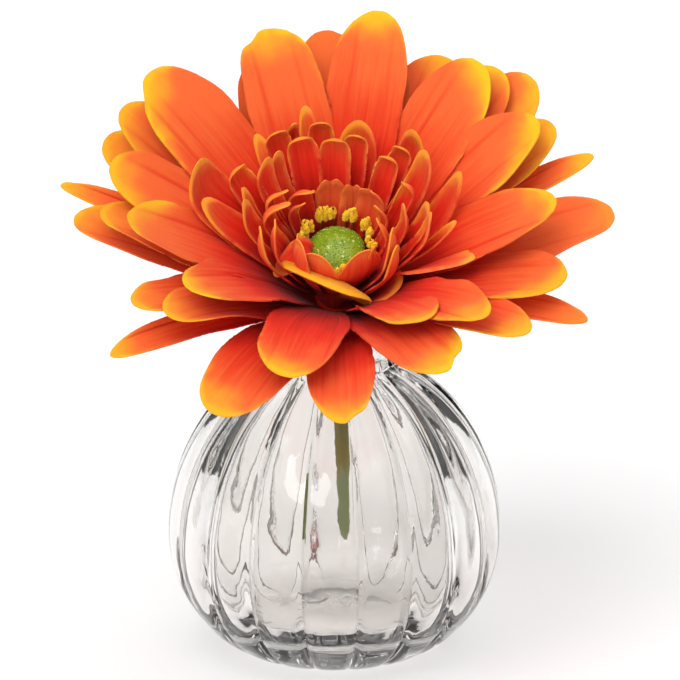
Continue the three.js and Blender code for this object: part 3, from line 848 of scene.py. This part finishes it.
# Azimuth, rise above the disc, length, width and curl of each short petal, with its own traits.
OUTER_FLORETS = [
    (13, 55, 43, 7, 0, UPTURNED), (48, 49, 42, 9, 60, GILT), (79, 49, 38, 11.5, 40, GILT),
    (104, 49, 41, 6.5, 20, {}), (114, 49, 42, 5.5, 80, GILT), (128, 47, 38, 7, 10, POINTED),
    (169, 46, 49, 14, 60, GILT), (178, 47, 40, 9, 20, GILT), (257, 78, 24, 24, 0, FOLDED),
    (326, 50, 20, 12, 0, {}), (343, 40, 37, 13, 0, ROLLED), (347, 51, 39, 5, 20, GILT),
]
SECOND_FLORETS = [
    (27, 58, 41, 8, 30, GILT), (48, 57, 38, 8, HOOD, HOODED), (78, 58, 37, 8.5, HOOD, HOODED),
    (99, 57, 40, 8.5, HOOD, HOODED), (126, 57, 41, 9, HOOD, HOODED), (160, 56, 41, 9, HOOD, HOODED),
    (172, 58, 36, 5, 20, {}), (185, 58, 37, 7, 30, {}), (208, 58, 36, 8, 40, GILT),
    (211, 80, 28, 7, 0, DROOPING), (320, 58, 31, 9, 40, GILT), (342, 57, 39, 7, 30, {}),
    (352, 58, 37, 8, 30, GILT),
]
THIRD_FLORETS = [
    (18, 62, 34, 7, HOOD, HOODED), (49, 62, 35, 8, HOOD, HOODED), (91, 62, 36, 9.5, HOOD, HOODED),
    (115, 62, 38, 9.5, HOOD, HOODED), (139, 61, 37, 7, 40, {}), (151, 61, 38, 7, 40, {}),
    (163, 62, 34, 5, 90, GILT), (176, 62, 34, 7, 110, {}), (201, 62, 31, 10, 40, {}),
    (224, 66, 26, 10, 40, {"gold": 0.5}), (245, 68, 23.5, 11, 20, LOBED), (271, 62, 14, 8, 40, {}),
    (300, 68, 24, 12, 20, LOBED), (327, 62, 31, 11, 40, {}), (356, 62, 32, 6, 40, {}),
]
INNER_FLORETS = [
    (15, 67, 25, 5, 60, {}), (46, 67, 26, 8, 60, NOTCHED), (70, 67, 24, 7, 40, NOTCHED),
    (97, 67, 25, 8, 40, NOTCHED), (135, 67, 28, 8, 90, {}), (152, 67, 25, 5, 75, {}),
    (206, 67, 22, 6, 40, {}), (238, 67, 14, 6, 40, {}), (269, 67, 12, 6, 40, {}),
    (315, 67, 23, 5, 10, POINTED), (352, 67, 25, 6, 60, {}),
]
FLORET_RINGS = [
    {"node": "floret_outer", "start": 4.8, "bend": -4, "petals": OUTER_FLORETS},
    {"node": "floret_second", "start": 4.2, "bend": 19, "petals": SECOND_FLORETS},
    {"node": "floret_third", "start": 3.6, "bend": 28, "petals": THIRD_FLORETS},
    {"node": "floret_inner", "start": 3.4, "bend": 36, "petals": INNER_FLORETS},
]


def floret_petals(ring, level):
    base = FLORET_SHAPE | {"start": ring["start"], "sunk": ring["start"] - 1}
    base["height"] = level * DISC_PITCH
    petals = []
    for azimuth, rise, length, width, curl, traits in ring["petals"]:
        front = max(0, -math.sin(math.radians(azimuth)))
        seed = 100 * level + len(petals)
        petal = base | {"azimuth": azimuth, "rise": rise, "length": length, "width": width}
        petal |= {"curl": curl, "arch": -ring["bend"] - FRONT_BEND * front}
        petal |= {"lean": scatter(seed, 5), "skew": 0.08 * scatter(seed, 7)}
        petal |= {"roll": FACE_ROLL * math.cos(math.radians(azimuth)), "twist": 6 * scatter(seed, 9)}
        petal |= traits
        petals.append(petal)
    return petals


# The first colour, a near-black red at the root, is partly dye and partly painted shade where the petals
# meet.
floret_cloth = petal_finish(
    "floret_cloth", (0.28, 0.001, 0.001, 1), (0.76, 0.03, 0.012, 1), (0.84, 0.17, 0.045, 1),
    # The last number is the rim band, partly a painted highlight on the florets' lit rims.
    (0.86, 0.30, 0.03, 1), 1.0, 0.5,
)
for index, ring in enumerate(FLORET_RINGS):
    level = index + 3
    petals = floret_petals(ring, level)
    cloth_name = ring["node"].replace("floret_", "") + "_florets"
    hub = ring["start"] - 0.2
    disc = disc_piece(cloth_name, petals, 100 * level, hub, FLORET_ROWS, FLORET_COLUMNS, floret_cloth)
    grown(disc, fray, FRAY | {"Seed": level, "Length": 0.35 * MM, "Material": floret_cloth})
    stands_for(disc, ring["node"])


# The stamens are stiff dark-red threads, set in one ring on the top disc. Each ends in a clump of
# yellow flock, glued on in crumbs.
STAMEN_COUNT = 20
STAMEN_HEIGHT = 7 * DISC_PITCH
STALK_SIDES = 10
STALK_RADIUS = 0.34
KNOB_ROWS = 7
KNOB_SIDES = 12


def stamen_line(index):
    """The middle line of one stamen, from the disc to its tip."""
    turn = 2 * math.pi * (index + 0.4 * scatter(index, 3)) / STAMEN_COUNT
    reach = 1 + 0.03 * scatter(index, 4)
    droop = 3.5 * max(0, -math.sin(turn)) + 0.8 * scatter(index, 6)
    rows = [(2.6, STAMEN_HEIGHT), (5.2, 14.6), (7.3, 18.6), (7.9, 22.2 - 0.6 * droop)]
    rows.append((8.1 * reach, 25 - droop + 0.6 * scatter(index, 5)))
    return smooth_route([(r * math.cos(turn), r * math.sin(turn), h) for r, h in rows], 5)


def tube(path, radii, sides):
    """A closed tube around a path that keeps off vertical turns."""
    ahead = np.gradient(path, axis=0)
    ahead /= np.linalg.norm(ahead, axis=1, keepdims=True)
    side = np.cross(ahead, [-path[-1][1], path[-1][0], 0.001])
    side /= np.linalg.norm(side, axis=1, keepdims=True)
    over = np.cross(ahead, side)
    angle = 2 * np.pi * np.arange(sides) / sides
    rings = [
        centre + radius * (np.outer(np.cos(angle), a) + np.outer(np.sin(angle), b))
        for centre, radius, a, b in zip(path, radii, side, over)
    ]
    return ring_mesh(rings, [path[0], path[-1]])


def stalk_finish():
    material, graph = new_finish("stalk_thread")
    place = graph.place()
    fibre = graph.noise(place, 1500, 2)
    colour = graph.blend(fibre, (0.16, 0.012, 0.008, 1), (0.36, 0.045, 0.016, 1))
    bump = graph.bump(0.4, 0.05, fibre)
    inputs = {"Base Color": colour, "Roughness": 0.65 + fibre * 0.2, "Normal": bump}
    graph.finish(inputs)
    return material


def flock_finish():
    material, graph = new_finish("yellow_flock")
    place = graph.place()
    crumb = graph.noise(place, 1100, 3)
    colour = graph.blend(crumb, (0.80, 0.42, 0.003, 1), (1.0, 0.80, 0.03, 1))
    bump = graph.bump(0.6, 0.12, crumb)
    inputs = {"Base Color": colour, "Roughness": 0.85 - crumb * 0.15, "Normal": bump}
    inputs |= {"Sheen Weight": 0.3, "Specular IOR Level": 0.2}
    graph.finish(inputs)
    return material


def joined(meshes):
    """Several point and face lists as one."""
    points, faces = [], []
    for corners, polygons in meshes:
        start = sum(len(part) for part in points)
        faces += [tuple(corner + start for corner in polygon) for polygon in polygons]
        points.append(corners)
    return np.vstack(points), faces


def crumb_tree():
    """Crumbs of flock stuck at random all over a clump."""
    kinds = {"Density": "NodeSocketFloat", "Size": "NodeSocketFloat", "Seed": "NodeSocketInt"}
    tree, graph = modifier_tree("flock_crumbs", kinds | {"Material": "NodeSocketMaterial"})
    clump = graph.given("Geometry")
    inputs = {"Mesh": clump, "Density": graph.given("Density")}
    inputs["Seed"] = graph.given("Seed")
    scattered = graph.node("GeometryNodeDistributePointsOnFaces", {}, inputs)
    rotation = Signal(graph, scattered.socket.node.outputs["Rotation"])
    inputs = {"Radius": graph.given("Size"), "Subdivisions": 1}
    crumb = graph.node("GeometryNodeMeshIcoSphere", {}, inputs)
    inputs = {0: (0.5, 0.5, 0.4), 1: (1.1, 1.1, 1.0), "Seed": graph.given("Seed")}
    size = graph.node("FunctionNodeRandomValue", {"data_type": "FLOAT_VECTOR"}, inputs)
    inputs = {"Points": scattered, "Instance": crumb, "Rotation": rotation, "Scale": size}
    crumbs = graph.node("GeometryNodeInstanceOnPoints", {}, inputs)
    graph.node("NodeGroupOutput", {}, {"Geometry": put_together(graph, clump, crumbs)})
    return tree


def flock_clump(line, index):
    """A lumpy knob of flock around the top of a stamen, with one or two more knobs beside it."""
    rows = np.arange(KNOB_ROWS)
    swell = 0.25 + 0.5 * np.sin(np.linspace(0.4, 3.0, KNOB_ROWS))
    wander = np.stack([0.2 * scatter(rows, index + salt) for salt in (11, 12, 13)], 1)
    knobs = []
    for knob in range(2 if scatter(index, 21) < 0 else 3):
        beside = min(knob, 1)
        shift = [scatter(index + 31 * knob, salt) * beside for salt in (22, 23, 24)]
        girth = swell * (1 - 0.25 * beside) + 0.1 * scatter(rows, index + knob)
        knobs.append(tube(line[-KNOB_ROWS:] + shift + wander, girth, KNOB_SIDES))
    return knobs


stalks, clumps = [], []
for index in range(STAMEN_COUNT):
    line = stamen_line(index)
    stalks.append(tube(line, np.full(len(line), STALK_RADIUS), STALK_SIDES))
    clumps += flock_clump(line, index)
stalk_points, stalk_faces = joined([hub_ring(STAMEN_HEIGHT, 3), *stalks])
stamen_stalks = add_piece("stamen_stalks", in_place(stalk_points), stalk_faces, stalk_finish(), None, 60)
stands_for(stamen_stalks, "stamens")
clump_points, clump_faces = joined(clumps)
flock = flock_finish()
stamen_heads = add_piece("stamen_heads", in_place(clump_points), clump_faces, flock)
crumb_values = {"Density": 7e6, "Size": 0.24 * MM, "Seed": 4, "Material": flock}
grown(stamen_heads, crumb_tree(), crumb_values)
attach(stamen_heads, "root")


# The eye is a dome of green plastic on a short socket, pressed onto the end of the stem. Its top is
# moulded full of small glossy beads.
EYE_RADIUS = 6.6
EYE_RIM = 19.4
EYE_HEIGHT = 3.5
EYE_SIDES = 64
BEAD_RADIUS = 0.22
BEAD_SPACING = 0.46


def eye_mesh():
    foot = STAMEN_HEIGHT + DISC_THICKNESS / 2 + SEAT
    shell = [(2.6, foot), (2.6, foot + 2), (EYE_RADIUS - 1, EYE_RIM - 1.4)]
    for turn in np.linspace(0, 0.97, 16):
        angle = turn * math.pi / 2
        shell.append((EYE_RADIUS * math.cos(angle), EYE_RIM + EYE_HEIGHT * math.sin(angle)))
    angle = 2 * np.pi * np.arange(EYE_SIDES) / EYE_SIDES
    rows = [(HOLE_RADIUS, EYE_RIM - 3), (HOLE_RADIUS, foot)] + shell
    rings = [np.stack([r * np.cos(angle), r * np.sin(angle), np.full(EYE_SIDES, h)], 1) for r, h in rows]
    return ring_mesh(rings, [[0, 0, EYE_RIM - 3], [0, 0, EYE_RIM + EYE_HEIGHT]])


def eye_finish():
    material, graph = new_finish("eye_plastic")
    place = graph.place()
    mottle = graph.noise(place, 420, 3)
    colour = graph.blend(mottle, (0.09, 0.20, 0.004, 1), (0.30, 0.42, 0.012, 1))
    # Painted highlights: pale spots at random stand for glints on the beads, where the coat is also thicker.
    painted_glints = graph.smooth(graph.noise(place, 1300, 1), 0.6, 0.72)
    colour = graph.blend(painted_glints * 0.6, colour, (0.75, 0.9, 0.42, 1))
    inputs = {"Base Color": colour, "Roughness": 0.22 + mottle * 0.2, "Coat Weight": 0.4 * painted_glints + 0.2}
    graph.finish(inputs)
    return material


def bead_tree():
    """Small beads set evenly over the top of the dome."""
    kinds = {"Spacing": "NodeSocketFloat", "Size": "NodeSocketFloat", "Seed": "NodeSocketInt"}
    tree, graph = modifier_tree("eye_beads", kinds | {"Material": "NodeSocketMaterial"})
    dome = graph.given("Geometry")
    face_up = graph.node("GeometryNodeInputNormal")
    axis = tuple(HEAD_AXES[2])
    facing = graph.node("ShaderNodeVectorMath", {"operation": "DOT_PRODUCT"}, {0: face_up, 1: axis}, "Value")
    upper = graph.node("FunctionNodeCompare", {"operation": "GREATER_THAN"}, {0: facing, 1: 0.25})
    inputs = {"Mesh": dome, "Selection": upper, "Distance Min": graph.given("Spacing")}
    inputs |= {"Density Max": 6e6, "Seed": graph.given("Seed")}
    settings = {"distribute_method": "POISSON"}
    scattered = graph.node("GeometryNodeDistributePointsOnFaces", settings, inputs)
    inputs = {"Radius": graph.given("Size"), "Subdivisions": 2}
    bead = graph.node("GeometryNodeMeshIcoSphere", {}, inputs)
    inputs = {2: 0.6, 3: 1.15, "Seed": graph.given("Seed")}
    size = graph.node("FunctionNodeRandomValue", {"data_type": "FLOAT"}, inputs, 1)
    inputs = {"Points": scattered, "Instance": bead, "Scale": size}
    beads = graph.node("GeometryNodeInstanceOnPoints", {}, inputs)
    smoothed = graph.node("GeometryNodeSetShadeSmooth", {}, {0: put_together(graph, dome, beads)})
    graph.node("NodeGroupOutput", {}, {"Geometry": smoothed})
    return tree


eye_points, eye_faces = eye_mesh()
eye_plastic = eye_finish()
eye = add_piece("beaded_eye", in_place(eye_points), eye_faces, eye_plastic, None, 40)
bead_values = {"Spacing": BEAD_SPACING * MM, "Size": BEAD_RADIUS * MM, "Seed": 7, "Material": eye_plastic}
grown(eye, bead_tree(), bead_values)
stands_for(eye, "eye")


# The studio: a pale floor under a wide white ceiling, with a soft key light at the front left. The back
# wall is dark, which draws the dark lines in the glass, and the horizon is white. The glass casts no
# shadow, and the key light has no reflection.
FLOOR_SIZE = 4000
KEY_STRENGTH = 1.8
KEY_SPREAD = math.radians(40)
CEILING = 1.4
FRONT_WALL = 0.6
BACK_WALL = 0.08

vase.visible_shadow = False
material, graph = new_finish("studio_floor")
place = graph.place()
shade = graph.blend(graph.noise(place, 3, 2), (0.92, 0.92, 0.92, 1), (0.94, 0.94, 0.94, 1))
graph.finish({"Base Color": shade, "Roughness": 0.6})
half = FLOOR_SIZE / 2
corners = [(-half, -half, -0.05), (half, -half, -0.05), (half, half, -0.05), (-half, half, -0.05)]
floor = add_piece("studio_floor", corners, [(0, 1, 2, 3)], material)

world = bpy.data.worlds.new("surround")
bpy.context.scene.world = world
world.use_nodes = True
graph = Graph(world.node_tree)
place = graph.node("ShaderNodeTexCoord", output="Generated")
height = graph.node("ShaderNodeSeparateXYZ", {}, {0: place}, "Z")
depth = graph.node("ShaderNodeSeparateXYZ", {}, {0: place}, "Y")
wall = FRONT_WALL - graph.smooth(depth, -0.6, 0.0) * (FRONT_WALL - BACK_WALL)
ceiling = graph.smooth(height, 0.55, 0.9)
haze = 1 - graph.smooth(height, 0.05, 0.09)
strength = wall + ceiling * CEILING + haze * (1 - wall)
light = graph.node("ShaderNodeBackground", {}, {"Color": (1, 1, 1, 1), "Strength": strength})
graph.node("ShaderNodeOutputWorld", {}, {"Surface": light})

key = bpy.data.lights.new("key_light", "SUN")
key.energy = KEY_STRENGTH
key.angle = KEY_SPREAD
key_light = bpy.data.objects.new("key_light", key)
key_light.location = Vector((-350, -850, 850)) * MM
key_light.rotation_euler = (-key_light.location).to_track_quat("-Z", "Y").to_euler()
key_light.visible_glossy = False
bpy.context.scene.collection.objects.link(key_light)

scene = bpy.context.scene
scene.view_settings.view_transform = "Standard"
scene.view_settings.look = "None"
